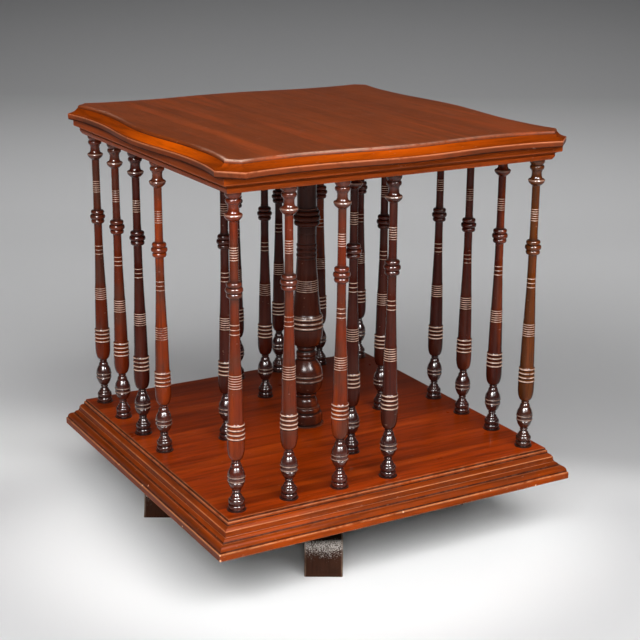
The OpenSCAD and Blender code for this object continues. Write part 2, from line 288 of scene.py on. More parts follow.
# Grain direction: scale of the noise along each axis, small along the grain
ALONG_X = (0.06, 1.0, 1.0)
ALONG_Y = (1.0, 0.06, 1.0)
ALONG_Z = (1.0, 1.0, 0.06)
GRAINS = (("x", ALONG_X), ("y", ALONG_Y))

# Colours that the woods share: wear that also serves as painted highlight, grime that also serves as painted
# shade, and dirt, dust, chips, glow, lacquer and bare undersides
WORN_AND_HIGHLIGHT = tone(226, 190, 168)
RUBBED = tone(214, 132, 92)
GRIME_AND_SHADE = tone(14, 5, 3)
DIRT = tone(70, 46, 36)
DUST = tone(66, 46, 36)
PALE = tone(232, 178, 140)
GLOW = tone(210, 84, 14)
LACQUER = tone(48, 26, 24)
BARE = tone(66, 64, 62)

# Heights between which the polish of a spindle's triple bead and of its capital begins and ends
BEADS_FROM = (PANEL_Z + 192 * MM, PANEL_Z + 195 * MM)
BEADS_TO = (PANEL_Z + 207 * MM, PANEL_Z + 210 * MM)
CAPITAL_FROM = (PANEL_Z + 258 * MM, PANEL_Z + 262 * MM)

# How high a spindle is nearly black, and how far the stain on the base goes past its foot, in millimetres
DARK_FOOT_H = 44.0
STAIN_PAST_FOOT = 2.5

# Painted shade towards the case's back: its direction, and where along it the shade begins and is full
BACKWARDS = (0.5, 0.87, 0)
PAINTED_BACK_SHADE = (-20 * MM, 220 * MM)

# Where the edges are chipped: places on the base and under the top, and the radius, in millimetres
CHIPS = (
    (-190, -190, 62, 2.2), (-190, -190, 67.5, 1.3), (-190, -19, 68, 1.8), (-187.5, -30, 71, 1.6),
    (-190, 84, 68, 1.2), (-190, -112, 63, 1.4), (-100, -184, 84, 1.3), (-3, -190, 67.5, 1.5),
    (96, -190, 68, 1.2), (-190, 40, 68, 1.3), (150, -190, 62, 1.2), (-60, -186, 75, 1.0))

# Stand: the side view of a leg, in millimetres
TOE_SPLAY = 1.2
NOSE_L = 8.0
NOSE_DROP = 9.0
NOSE_FLAT_L = 7.0
NOSE_H = 35.0
FLAT_L = 55.0
LEG_RISE_HOLLOW = 3.0
ARM_W = 36.0
ARM_L = 330.0
STAND_TURN = -29.5
JOINT_GAP = 0.05

# The speckled painted sheen on the legs' ends, a painted highlight: where it begins and is full, outwards
# and then upwards, and between which heights it stops. Above the last pair of heights the leg is darkened
# with painted shade, where it runs in under the base.
PAINTED_SHEEN_OUT = ((ARM_L / 2 - 14) * MM, (ARM_L / 2 - 2) * MM)
PAINTED_SHEEN_UP = (4 * MM, 31 * MM)
PAINTED_SHEEN_STOP = (34 * MM, 36.5 * MM)
PAINTED_SHADE_FROM = (33 * MM, 36 * MM)


def wood(
        name, colour, grain, streak=0.35, wear=0.6, rough=0.3, figure=0.5, scratch=0.3, gloss=0.1,
        pale_marks=RUBBED, dark_marks=GRIME_AND_SHADE, dust=0.0, glow=0.3, spots=(), stain=DUST, underside=None, dark_foot=None,
        painted_back_shade=0.0):
    """Polished wood: broad figure, fine streaks and pores along the grain, dark marks in hollows that are
    partly soiling and partly painted shade, and pale marks that are rubbed edges, on ring crests and the
    top's brow also painted highlight, and in the top's hollow painted light. Spots are (x, y, z, radius)
    places in millimetres that take the stain's colour. Up to its underside's level it is left unpolished
    and dusty. Below the level of a dark foot its polish is nearly black and lacquered, and then the triple
    bead and the capital above are lacquered too. The painted back shade is how much painted shade darkens
    the colour towards the case's back."""
    graph = Graph(name)
    along = graph.scaled(grain)
    figure_noise = graph.noise(along, scale=26.0, detail=4.0, rough=0.6, warp=1.2)
    streaks = graph.noise(along, scale=260.0, detail=4.0, rough=0.65)
    pores = graph.noise(along, scale=900.0, detail=2.0, rough=0.5).smooth(0.6, 0.72)
    ribbons = graph.noise(along, scale=48.0, detail=2.0, rough=0.5)
    mottle = graph.noise(scale=24.0, detail=3.0, rough=0.6)
    uneven = graph.noise(scale=140.0, detail=3.0, rough=0.7)
    height = graph.height()

    shade = graph.mix(figure_noise.smooth(0.34, 0.66) * figure, colour, darker(colour, 0.5))
    shade = graph.mix(streaks.smooth(0.42, 0.72) * streak, shade, darker(colour, 0.35))
    shade = graph.mix(ribbons.smooth(0.54, 0.7) * glow, shade, blended(colour, GLOW, 0.6))
    shade = graph.mix(pores * 0.4, shade, darker(colour, 0.2))
    shade = graph.mix(mottle.smooth(0.4, 0.66) * dust, shade, DUST)
    # Painted shade, darker towards the case's back
    if painted_back_shade:
        back = graph.vector("DOT_PRODUCT", graph.place, BACKWARDS)
        shade = graph.mix(back.smooth(*PAINTED_BACK_SHADE) * painted_back_shade, shade, darker(colour, 0.15))
    coat = 0.0
    if dark_foot is not None:
        lacquer = 1.0 - height.smooth(dark_foot - 4 * MM, dark_foot + 10 * MM)
        shade = graph.mix(lacquer * 0.7, shade, LACQUER)
        beads = height.smooth(*BEADS_FROM) * (1.0 - height.smooth(*BEADS_TO))
        coat = (lacquer * 0.8 + (beads + height.smooth(*CAPITAL_FROM)) * 0.5).within()

    mark = graph.mark("mark")
    # Dark marks: grime, and painted shade in grooves, undercuts and under overhangs
    grime_and_shade = (mark * -1.0).within() * (0.65 + uneven * 0.5)
    shade = graph.mix(grime_and_shade.within(), shade, graph.mix(uneven.smooth(0.4, 0.62), GRIME_AND_SHADE, dark_marks))
    # Pale marks: rubbed edges, painted highlight on crests and the top's brow, and painted light in its
    # hollow
    edge = mark.within() * (uneven * 0.5 + figure_noise * 0.5).smooth(0.32, 0.52) * wear
    shade = graph.mix(edge.within(), shade, pale_marks)
    shade = graph.mix(streaks.smooth(0.46, 0.7) * streak * 0.6, shade, darker(colour, 0.35))
    if spots:
        shade = graph.mix(graph.near(spots, uneven), shade, stain)
    if underside is not None:
        shade = graph.mix(height.ramp(underside, underside + 0.3 * MM), BARE, shade)

    slanting = graph.scaled((0.35, 1.0, 1.0), (0, 0, 0.6))
    scratches = graph.noise(slanting, scale=420.0, detail=1.0, rough=0.4).smooth(0.74, 0.78)
    shade = graph.mix(scratches * scratch * 0.3, shade, WORN_AND_HIGHLIGHT)

    dullness = graph.noise(scale=30.0, detail=3.0, rough=0.6)
    roughness = rough + dullness * 0.12 + grime_and_shade * 0.3
    relief = streaks * 0.5 - pores + uneven * 0.6
    return graph.finish(
        base_color=shade, roughness=roughness.within(), specular_ior_level=gloss,
        coat_weight=coat, coat_roughness=0.12, normal=graph.bump(relief, distance=0.12 * MM, strength=0.3))


def stained_wood(name, colour):
    """Dark stained wood of the stand: open grain, a speckled painted highlight below the rounded noses, and
    painted shade on the tops behind them.
    """
    graph = Graph(name)
    grain = graph.noise(graph.scaled(ALONG_Z), scale=420.0, detail=4.0, rough=0.7)
    patches = graph.noise(scale=45.0, detail=4.0, rough=0.65)
    speckle = graph.noise(scale=1300.0, detail=1.0, rough=0.5)
    height = graph.height()
    shade = graph.mix(patches.smooth(0.35, 0.7) * 0.5, colour, darker(colour, 0.45))
    shade = graph.mix(grain.smooth(0.45, 0.7) * 0.4, shade, darker(colour, 0.3))
    # Painted highlight: a speckled sheen on the legs' ends; painted shade on the tops behind them
    reach = graph.vector("LENGTH", graph.vector("MULTIPLY", graph.place, (1, 1, 0), "Vector"))
    nose = reach.smooth(*PAINTED_SHEEN_OUT) * (1.0 - height.smooth(*PAINTED_SHEEN_STOP))
    painted_sheen = height.ramp(*PAINTED_SHEEN_UP) ** 1.4 * nose
    painted_sheen_dots = (speckle + patches * 0.3 + (painted_sheen - 1.0) * 0.4).smooth(0.54, 0.74)
    shade = graph.mix(painted_sheen_dots * 0.7, shade, tone(236, 228, 220))
    shade = graph.mix(height.smooth(*PAINTED_SHADE_FROM) * 0.7, shade, darker(colour, 0.2))
    edge = graph.mark("edge") * patches.smooth(0.3, 0.6) * 0.5
    shade = graph.mix(edge.within(), shade, tone(150, 124, 104))
    roughness = 0.34 + speckle * 0.2
    return graph.finish(
        base_color=shade, roughness=roughness.within(), specular_ior_level=0.08,
        normal=graph.bump(grain + speckle * 0.6, distance=0.2 * MM, strength=0.4))


def metal(name, colour, rough, stain):
    """Old metal with a dull uneven surface."""
    graph = Graph(name)
    patches = graph.noise(scale=180.0, detail=4.0, rough=0.65)
    brushed = graph.noise(graph.scaled((1, 1, 12)), scale=500.0, detail=2.0, rough=0.5)
    shade = graph.mix(patches.smooth(0.4, 0.7) * 0.7, colour, stain)
    return graph.finish(
        base_color=shade, metallic=1.0, roughness=(rough + patches * 0.25).within(),
        normal=graph.bump(patches + brushed * 0.3, distance=0.2 * MM, strength=0.4))


# Outlines in millimetres. A point is (radius or distance in, height, mark). A mark of -1 is grime, and in
# grooves, undercuts and under overhangs also painted shade; 1 is a rubbed edge, on ring crests and the
# top's brow also a painted highlight, and in the top's hollow painted light.


def early(share):
    return math.sin(math.pi / 2 * share)


def late(share):
    return 1 - math.cos(math.pi / 2 * share)


def even(share):
    return share


def eased(share):
    return (1 - math.cos(math.pi * share)) / 2


def curve(start, end, steps, out, up):
    """Points from start to end. Out and up turn a share of the steps into a share of the way."""
    return [
        (start[0] + (end[0] - start[0]) * out(i / steps), start[1] + (end[1] - start[1]) * up(i / steps), 0.0)
        for i in range(steps + 1)]


def dome(start, end, steps):
    """A convex quarter that leaves its start upright and reaches its end level."""
    return curve(start, end, steps, late, early)


def bowl(start, end, steps=8):
    """A quarter that leaves its start level and reaches its end upright."""
    return curve(start, end, steps, early, late)


def swell(start, end, steps=10):
    """A swelling that starts steeply and settles to an upright line."""
    return curve(start, end, steps, early, even)


def fall(start, end, steps):
    """A swelling that starts upright and falls away steeply."""
    return curve(start, end, steps, late, even)


def ogee(start, end, steps):
    """An S curve, upright at both ends."""
    return curve(start, end, steps, eased, even)


def bead(low, high, inner, outer, steps=9):
    """A rounded bead between two heights, darkened where it meets its neighbours, partly as soiling and
    partly as painted shade.
    """
    return [
        (inner + (outer - inner) * math.sin(math.pi * i / steps), low + (high - low) * eased(i / steps),
         0.0 if 0 < i < steps else -0.8)
        for i in range(steps + 1)]


def sweep(start, end, depth, steps=8, mark=0.0):
    """A shallow curve that leaves the straight line between its ends by the given depth."""
    run = (end[0] - start[0], end[1] - start[1])
    size = math.hypot(*run)
    side = (run[1] / size, -run[0] / size)
    points = []
    for i in range(steps + 1):
        share = i / steps
        out = depth * 4 * share * (1 - share)
        spot = [start[axis] + run[axis] * share + side[axis] * out for axis in (0, 1)]
        points.append((*spot, mark))
    return points


# A raised ring with a groove under it that is painted shade and a crest painted pale, as wear and as
# painted highlight: how far out and up its points are from its middle, as shares of its size, and
# their marks
RING = (
    (0, -1.5, 0.0), (-0.4, -1.15, -1.0), (-0.4, -0.85, -1.0), (0.3, -0.45, 0.6), (0.4, 0, 1.0),
    (0.15, 0.5, 0.6), (0, 0.9, 0.0))


def rings(heights, first, last, size, pale_marks=1.0):
    """Raised rings on a tapering shaft, their crests painted pale as given, as wear and as painted
    highlight.
    """
    run = heights[-1] - heights[0]
    points = []
    for z in heights:
        radius = first + (last - first) * (z - heights[0]) / run
        points += [
            (radius + out * size, z + up * size, mark * pale_marks if mark > 0 else mark) for out, up, mark in RING]
    return points


def spread(low, high, count):
    """Even heights from low to high."""
    return [low + (high - low) * i / (count - 1) for i in range(count)]


# Turned work, drawn for a clear height of 286 mm from the base at 0 up to the frame, and the angle by which
# each spindle is turned against the one before it
DRAWN_H = 286.0
SPINDLE_TURN = 0.7


def spindle_outline():
    """A spindle's foot, egg, bowl, ringed shaft, triple bead and capital."""
    head = DRAWN_H
    return (
        [(8.6, 0, -0.4), (8.6, 0.5, -0.2), (7.0, 0.9, -1)]
        + bead(1, 5.3, 6.6, 7.6, 10)
        + [(6.1, 5.5, -1)]
        + bead(5.8, 10.8, 6.3, 7.5, 10)
        + sweep((6, 11), (4.6, 13.2), 0.4, 4)
        + sweep((4.8, 13.5), (3.6, 15.4), 0.3, 4)
        + [(3.3, 16.2, -1)]
        + bead(16.9, 18.5, 3.3, 3.9, 6)
        + [(3.4, 18.9, -1)]
        + sweep((4, 19.3), (7.6, 27), 0.6)
        + rings((28.2, 32.2), 7.7, 7.8, 0.9, 0.4)
        + fall((7.8, 33.2), (5.2, 40.4), 8)
        + [(4.9, 40.7, -0.8)]
        + fall((5.1, 41), (4, 44.2), 5)
        + [(3.3, 44.7, -1)]
        + bead(45.2, 46.7, 3.3, 3.9, 6)
        + [(3.3, 47.2, -1), (3.8, 47.7, -0.5)]
        + bowl((4.2, 47.8), (7.85, 60.5), 12)
        + [(7.85, 66, 0)]
        + rings((68.4, 72.3, 76.5, 80.6), 7.8, 7.55, 1)
        + [(6.9, 82.2, 0), (6.25, 112.2, 0)]
        + rings(spread(114.4, 125.6, 6), 6, 5.8, 0.5)
        + [(5.5, 130, 0), (4.55, 158, 0)]
        + rings((162.4, 166.6, 170.8), 4.4, 4.25, 0.5)
        + [(4.1, 180, 0), (4.1, 193.6, 0), (4.2, 194.2, -0.6)]
        + bead(194.5, 198.7, 5.4, 6.8)
        + bead(198.9, 203.7, 6, 7.8)
        + bead(203.9, 208.1, 5.4, 6.8)
        + [(4.1, 208.5, -0.6), (3.85, 212, 0), (3.8, 225, 0)]
        + rings(spread(227.4, 238.2, 6), 3.8, 3.75, 0.45)
        + [(3.75, 242, 0), (3.75, 260.4, 0), (4.4, 261, -0.4)]
        + swell((4.8, 261.2), (7.7, 265))
        + [(8, 265.7, 0.3), (7.7, 266.5, 0.3)]
        + bowl((7.1, 267), (4.8, 270.6))
        + ogee((4.7, 273), (5.3, 275.4), 6)
        + bead(275.8, 280, 5.6, 6.8)
        + [(5.7, 280.4, -1)]
        + swell((5.9, 280.8), (7.2, head - 2.4))
        + [(7.2, head, -0.4)])


def column_outline():
    """The column's foot, ball, bowl, ringed shaft, triple bead and plain neck."""
    head = DRAWN_H
    return (
        [(18.2, 0, -0.5), (18.2, 0.6, 0.3), (15.8, 1.2, -1)]
        + bead(1.6, 12.8, 15, 16.8, 14)
        + [(13.5, 13.2, -1)]
        + bead(13.6, 18.4, 13.4, 14.4, 8)
        + [(13, 18.7, -0.6), (13.2, 19.6, 0.5), (12, 20, -1)]
        + dome((12.2, 20.6), (8, 28.8), 10)
        + [(7.8, 29.6, -1)]
        + bead(30.6, 33.4, 9, 10.7, 7)
        + [(9, 33.8, -1)]
        + bowl((9.8, 34.4), (16.6, 46), 12)
        + rings((48.6, 53.4), 16.7, 16.8, 1.3, 0.4)
        + fall((16.8, 55.2), (9.8, 69), 14)
        + [(9.2, 69.4, -0.8)]
        + bead(69.8, 72.6, 9.4, 10.2, 6)
        + bead(72.8, 77.6, 9, 10.4, 8)
        + [(8.4, 78.4, -1), (8.4, 79.2, -1)]
        + bead(79.8, 82.8, 8.8, 9.8, 7)
        + [(8.8, 83.2, -1)]
        + bowl((9.6, 83.6), (16.8, 99), 14)
        + rings((104.5, 109.2, 113.9), 16.7, 16.2, 1.4)
        + [(15.6, 116.4, 0.4), (14.8, 117.4, -0.4), (14.4, 118.4, 0), (12.2, 139, 0)]
        + rings(spread(141.8, 152.4, 6), 12, 11.3, 0.55)
        + [(10.7, 160, 0), (10, 173, 0)]
        + bead(175.6, 179, 9.7, 10.3)
        + [(9.6, 180.2, 0)]
        + bead(180.8, 184, 9.6, 10.2)
        + [(9.5, 185.2, 0)]
        + bead(186, 189.2, 9.5, 10.1)
        + [(9.4, 191, 0), (9.3, 207.2, -0.5)]
        + bead(207.8, 212.6, 11, 12.7)
        + bead(212.9, 218, 11.6, 13.4)
        + bead(218.4, 223, 11, 12.7)
        + [(10.9, 223.4, -0.6), (10.9, 225.2, 0.3), (9.5, 225.8, -0.5), (9.6, head - 8, 0)]
        + swell((10.4, head - 6), (11.4, head - 1.5), 6)
        + [(11.4, head, -0.4)])


def base_section():
    """Base rail: square edge, ovolo, small torus, upright face, thumb and a bead against the board."""
    edge = 7.0
    deep = BASE_T / MM
    wide = BASE_RAIL_W / MM
    return (
        [(0.4, 0, 0.3), (0, 0.4, 0.3), (0, 1.2, 0), (0, edge - 1.8, 0), (0, edge - 0.8, 0.5)]
        + [(0.2, edge - 0.2, 0.8), (0.6, edge, 0.4), (1.1, edge + 0.2, -0.7), (1.2, edge + 1.3, -1)]
        + sweep((1.4, edge + 1.7), (4.9, edge + 5.8), -0.8)
        + [(5.3, edge + 5.9, 0.4), (6.6, edge + 6.2, -0.8), (7.2, edge + 6.9, -1)]
        + sweep((7.4, edge + 7.2), (9.9, edge + 9.3), -0.5, 5)
        + [(10.1, edge + 9.6, 0.6), (10.4, edge + 9.9, -0.8)]
        + sweep((10.5, edge + 10.3), (wide - 6.2, deep - 9.4), 0.2, 4, -0.25)
        + [(wide - 6.3, deep - 8.9, 0.7), (wide - 5.8, deep - 8.4, 0.4)]
        + sweep((wide - 5.6, deep - 8.2), (wide - 2.6, deep - 5.7), -0.5, 6)
        + [(wide - 2.3, deep - 5.1, -1), (wide - 2.3, deep - 4.5, -1), (wide - 2.2, deep - 4.1, 0)]
        + [(wide - 2.1, deep - 3, 0.2), (wide - 1.7, deep - 2.5, 0.7), (wide - 1.3, deep - 2.3, 0)]
        + [(wide - 0.9, deep - 1.9, -1), (wide - 0.7, deep - 1.1, -0.9), (wide - 0.4, deep - 0.2, 0.5)]
        + [(wide, deep, -0.2), (wide, 0, -1)])


def frame_section():
    """Frame rail: rounded lower band, undercut and a wide fillet under the top."""
    deep = FRAME_H / MM
    wide = FRAME_RAIL_W / MM
    # Dark marks in the undercut and at the top of the fillet are painted shade of the step and the top above
    return (
        [(6.6, 0, 0), (6.4, 0.4, 0.3)]
        + sweep((6.3, 0.6), (4.5, 4.4), -0.3, 6)
        + [(4.9, 4.7, -0.6), (4.8, 5.5, -0.6)]
        + sweep((4.4, 6), (0.8, 7.5), 0.4, 6, -0.55)
        + [(0.2, 7.8, -0.2), (0, 8.3, 0.4), (0, 9.2, 0), (0, deep - 3, 0), (0, deep - 1.2, -0.4)]
        + [(0, deep, -1), (wide, deep, 0), (wide, 0, 0)])


# Finishes of the shaped top. The edge's two come again after them for the sides whose grain runs along Y.
FACE, HOLLOW, SQUARE = range(3)
EDGE_FINISHES = 2


def top_section():
    """Edge of the shaped top going up, then in over its face. The last value of each point is its finish."""
    edge = 5.4
    deep = TOP_T / MM
    # The dark marks at the foot of the square edge paint a shadow line over the frame rail below
    outer = [(0.9, 0, -1), (0.6, 0.3, -1), (0.45, 0.9, -0.7), (0.3, 1.7, 0), (0.1, edge - 1.2, 0)]
    outer += [(0, edge - 0.3, 0.5), (0.1, edge + 0.1, 0.9), (0.5, edge + 0.5, 0.2)]
    hollow = [(1.1, edge + 0.7, -0.7)] + sweep((1.7, edge + 0.8), (9.9, deep - 3.1), 0.8, 10)
    hollow += [(10.2, deep - 2.9, -0.8)]
    marks = (-0.4, 0, 0.2, 0.5, 0.9, 1, 0.6)
    brow = dome((10.3, deep - 2.5), (12.7, deep - 0.03), 6)
    brow = [(inset, z, mark) for (inset, z, _), mark in zip(brow, marks)]
    face = [(13.4, deep, 0.2), (15, deep, 0), (30, deep, 0)]
    return (
        [(*point, SQUARE) for point in outer] + [(*point, HOLLOW) for point in hollow]
        + [(*point, FACE) for point in brow + face])


# Where the top's brow is painted pale, as wear and as painted highlight, and where its hollow is painted
# with light: side, place along it from -1 to 1, reach and strength
BROW_WEAR_AND_HIGHLIGHT = (
    (0, -0.4, 0.4, 0.7), (0, 0.35, 0.35, 0.3), (0, -1, 0.05, 1.0), (3, 1, 0.08, 1.0), (3, 0.8, 0.2, 0.4),
    (3, -0.6, 0.3, 0.3), (1, -0.4, 0.4, 0.4), (1, 0.7, 0.3, 0.35), (2, -0.5, 0.4, 0.4), (2, 0.6, 0.3, 0.4))
PAINTED_LIGHT_IN_HOLLOW = ((0, 0, 0.6, 0.3), (1, 0, 0.6, 0.8), (2, 0, 0.6, 0.8), (3, 0.35, 0.5, 1.0))
# How strong the painted light in the hollow is, and how much darker it is painted towards the corners
HOLLOW_PAINTED_LIGHT = 0.7
CORNER_DARKENING = 0.35


def strength_at(table, side, s):
    """How strong a table's mark is at s along a side."""
    return min(1.0, sum(
        strength * math.exp(-((s - place) / reach) ** 2)
        for where, place, reach, strength in table if where == side))


# Outline of the top in millimetres: how far a side swells out in its middle and draws in before its
# corners, where along it and how sharply, and how much is cut off a corner, less as the outline goes in
SWELL_OUT = 1.5
DRAW_IN = 6.0
DRAW_AT = 0.62
FLARE = 2.5
CORNER_CUT = 19.5
CORNER_DRAW = 0.83
CORNER_DRAW_TO = 15.0


def side_shift(s):
    """How far a side of the top stands out at s, from -1 to 1 between its corners."""
    a = abs(s)
    if a < DRAW_AT:
        return (SWELL_OUT + DRAW_IN) * (1 + math.cos(math.pi * a / DRAW_AT)) / 2 - DRAW_IN
    return DRAW_IN * (((a - DRAW_AT) / (1 - DRAW_AT)) ** FLARE - 1)


def top_outline(inset):
    """Outline of the top at one level, anticlockwise from the front left corner: places in metres, each with
    its side and how far along it that is, from -1 to 1."""
    steps = turning().side_steps
    cut = CORNER_CUT - CORNER_DRAW * min(inset, CORNER_DRAW_TO)
    half = (top_high[0] / MM - SWELL_OUT - inset, top_high[1] / MM - SWELL_OUT - inset)
    points = []
    for side in range(4):
        across = half[(side + 1) % 2]
        along = half[side % 2] - cut
        for i in range(steps + 1):
            s = 2 * i / steps - 1
            spot = Vector((s * along, -across - side_shift(s), 0)) * MM
            spot.rotate(about_z(math.pi / 2 * side))
            points.append((spot, side, s))
    return points


# Mesh tools

# Distance in metres below which vertices are one
TOUCHING = 1e-6


def about_z(angle):
    return Matrix.Rotation(angle, 3, "Z")


def only(kind, items):
    return [item for item in items if isinstance(item, kind)]


def to_mesh(made, name):
    mesh = bpy.data.meshes.new(name)
    made.to_mesh(mesh)
    made.free()
    return mesh


def new_bmesh():
    made = bmesh.new()
    made.verts.layers.float.new("mark")
    return made


def finish_piece(made, name, body, materials, replaced, sharp):
    """Turns a bmesh into a smooth-shaded piece that rides on a body and stands for its CAD nodes."""
    bmesh.ops.recalc_face_normals(made, faces=made.faces)
    place_piece(to_mesh(made, name), name, body, materials, replaced, sharp)


def place_piece(mesh, name, body, materials, replaced, sharp=35.0):
    """Adds a smooth-shaded piece. Edges whose angle in degrees is larger than sharp stay sharp."""
    for material in materials:
        mesh.materials.append(material)
    for face in mesh.polygons:
        face.use_smooth = True
    mesh.set_sharp_from_angle(angle=math.radians(sharp))
    piece = bpy.data.objects.new(name, mesh)
    bpy.context.scene.collection.objects.link(piece)
    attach(piece, body)
    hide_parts(*replaced)


def chain(made, points):
    """A line of vertices joined by edges, with their marks."""
    layer = made.verts.layers.float["mark"]
    verts = []
    for spot, mark in points:
        vert = made.verts.new(spot)
        vert[layer] = mark
        verts.append(vert)
    edges = [made.edges.new(pair) for pair in zip(verts, verts[1:])]
    return verts, edges


def turned_mesh(name, outline, height):
    """Spins an outline about the Z axis. The ends are closed on the axis."""
    stretch = height / (DRAWN_H * MM)
    points = [((r * MM, 0, z * MM * stretch), mark) for r, z, mark in outline]
    first, last = points[0][0], points[-1][0]
    points = [((0, 0, first[2]), 0.0)] + points + [((0, 0, last[2]), 0.0)]
    made = new_bmesh()
    verts, edges = chain(made, points)
    bmesh.ops.spin(
        made, geom=verts + edges, cent=(0, 0, 0), axis=(0, 0, 1), dvec=(0, 0, 0), angle=math.tau,
        steps=turning().segments, use_merge=True, use_duplicate=False)
    bmesh.ops.remove_doubles(made, verts=made.verts, dist=TOUCHING)
    bmesh.ops.recalc_face_normals(made, faces=made.faces)
    return to_mesh(made, name)


def mitred_rail(name, section, width, low, side, material):
    """Extrudes a section along one side of the case and cuts both ends at 45 degrees."""
    made = new_bmesh()
    half = width / 2
    points = [((-half, -half + inset * MM, low + z * MM), mark) for inset, z, mark in section]
    verts, _ = chain(made, points)
    made.edges.new((verts[-1], verts[0]))
    face = made.faces.new(verts)
    grown = bmesh.ops.extrude_face_region(made, geom=[face])["geom"]
    bmesh.ops.translate(made, verts=only(BMVert, grown), vec=(width, 0, 0))
    for end in (-1, 1):
        cut = bmesh.ops.bisect_plane(
            made, geom=made.verts[:] + made.edges[:] + made.faces[:], plane_co=(0, 0, 0),
            plane_no=(end, 1, 0), clear_outer=True, dist=1e-7)["geom_cut"]
        bmesh.ops.holes_fill(made, edges=only(BMEdge, cut), sides=0)
    bmesh.ops.rotate(made, verts=made.verts, cent=(0, 0, 0), matrix=about_z(math.pi / 2 * side))
    finish_piece(made, name, "case", [material], [name.replace("_finished", "")], sharp=28.0)


def shaped_top(materials):
    """Raises the serpentine outline level by level and closes it with its flat face."""
    made = new_bmesh()
    layer = made.verts.layers.float["mark"]
    order = made.verts.layers.int.new("order")
    low = top_low[2]
    first, *levels = top_section()
    inset, z, mark = first[:3]
    ring = []
    for i, (spot, *_) in enumerate(top_outline(inset)):
        vert = made.verts.new((spot.x, spot.y, low + z * MM))
        vert[layer] = mark
        vert[order] = i
        ring.append(vert)
    edges = [made.edges.new((ring[i - 1], ring[i])) for i in range(len(ring))]
    underside = made.faces.new(ring)
    underside.material_index = SQUARE
    for inset, z, mark, finish in levels:
        grown = bmesh.ops.extrude_edge_only(made, edges=edges)["geom"]
        outline = top_outline(inset)
        fresh = set(only(BMVert, grown))
        for vert in fresh:
            spot, side, s = outline[vert[order]]
            vert.co = (spot.x, spot.y, low + z * MM)
            vert[layer] = mark
            # Brow: wear and painted highlight. Hollow: painted light, darker towards the corners
            if finish == FACE and mark > 0:
                vert[layer] = mark * strength_at(BROW_WEAR_AND_HIGHLIGHT, side, s)
            elif finish == HOLLOW and mark == 0:
                glow = HOLLOW_PAINTED_LIGHT * strength_at(PAINTED_LIGHT_IN_HOLLOW, side, s)
                vert[layer] = glow - CORNER_DARKENING * abs(s) ** 3
        for face in only(BMFace, grown):
            face.material_index = finish
        edges = [edge for edge in only(BMEdge, grown) if all(vert in fresh for vert in edge.verts)]
    for face in bmesh.ops.contextual_create(made, geom=edges)["faces"]:
        face.material_index = FACE
    for face in made.faces:
        middle = face.calc_center_median()
        if face.material_index != FACE and abs(middle.x / top_high[0]) > abs(middle.y / top_high[1]):
            face.material_index += EDGE_FINISHES
    finish_piece(made, "top_finished", "case", materials, ["top_board"], sharp=30.0)


def leg_outline(block_low, block_high):
    """Side view of a leg from the middle block outwards. It meets the block between the two heights."""
    end = ARM_L / 2
    top = ARM_TOP / MM
    wall = [(ARM_W if block_low <= z <= block_high else ARM_W + JOINT_GAP, z) for z in (0, top / 2, top)]
    seam = (ARM_W + JOINT_GAP, top / 2)
    wall.insert(2 if block_low == 0 else 1, seam)
    rise = sweep((end - TOE_SPLAY - NOSE_L - NOSE_FLAT_L, NOSE_H), (FLAT_L, top), -LEG_RISE_HOLLOW, 12)
    nose = dome((end - TOE_SPLAY, NOSE_H - NOSE_DROP + 0.5), (end - TOE_SPLAY - NOSE_L, NOSE_H), 10)
    toe = sweep((end, 0), (end - TOE_SPLAY, NOSE_H - NOSE_DROP), -0.4)
    return wall + [(x, z) for x, z, _ in reversed(toe + nose + rise)]


def stand_arm(name, direction, block_low, block_high, material):
    """Joins two legs on opposite sides of the axis to half a middle block and wears their edges."""
    made = bmesh.new()
    wide = ARM_W * MM
    middle = Matrix.Translation((0, 0, (block_low + block_high) / 2 * MM))
    bmesh.ops.create_cube(
        made, size=1, matrix=middle @ Matrix.Diagonal((2 * wide, 2 * wide, (block_high - block_low) * MM, 1)))
    bmesh.ops.bisect_plane(
        made, geom=made.verts[:] + made.edges[:] + made.faces[:], plane_co=(0, 0, 0), plane_no=(0, 1, 0))
    for turn in (0, math.pi):
        verts = [made.verts.new((x * MM, 0, z * MM)) for x, z in leg_outline(block_low, block_high)]
        grown = bmesh.ops.extrude_face_region(made, geom=[made.faces.new(verts)])["geom"]
        far = only(BMVert, grown)
        bmesh.ops.translate(made, verts=far, vec=(0, wide, 0))
        bmesh.ops.rotate(made, verts=verts + far, cent=(0, 0, 0), matrix=about_z(turn))
    inner = []
    for face in made.faces:
        centre = face.calc_center_median()
        level = all(abs(abs(vert.co.x) - wide) < TOUCHING for vert in face.verts)
        if level and centre.x * centre.y > 0 and block_low < centre.z / MM < block_high:
            inner.append(face)
    bmesh.ops.delete(made, geom=inner, context="FACES_ONLY")
    bmesh.ops.remove_doubles(made, verts=made.verts, dist=TOUCHING)
    bmesh.ops.recalc_face_normals(made, faces=made.faces)
    rim = [
        edge for edge in made.edges
        if edge.calc_face_angle(0) > math.radians(50) and max(vert.co.z for vert in edge.verts) > MM
        and min(abs(vert.co.x) for vert in edge.verts) > wide + MM]
    pale_marks = bmesh.ops.bevel(
        made, geom=rim, offset=turning().edge_round, offset_type="OFFSET", segments=3, profile=0.5,
        affect="EDGES", material=-1, clamp_overlap=True)
    made.faces.index_update()
    edge_faces = {face.index for face in pale_marks["faces"]}
    bmesh.ops.rotate(
        made, verts=made.verts, cent=(0, 0, 0), matrix=about_z(math.radians(direction + STAND_TURN)))
    mesh = to_mesh(made, name)
    edge = mesh.attributes.new("edge", "FLOAT", "FACE")
    for index in edge_faces:
        edge.data[index].value = 1.0
    place_piece(
        mesh, name, "stand", [material], [name.replace("_finished", "")], sharp=40.0)


def repaint(node, material):
    """Gives a CAD node a finished material in place of its plain one."""
    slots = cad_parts[node].material_slots
    if not slots:
        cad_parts[node].data.materials.append(material)
    for slot in slots:
        slot.material = material


# Operators


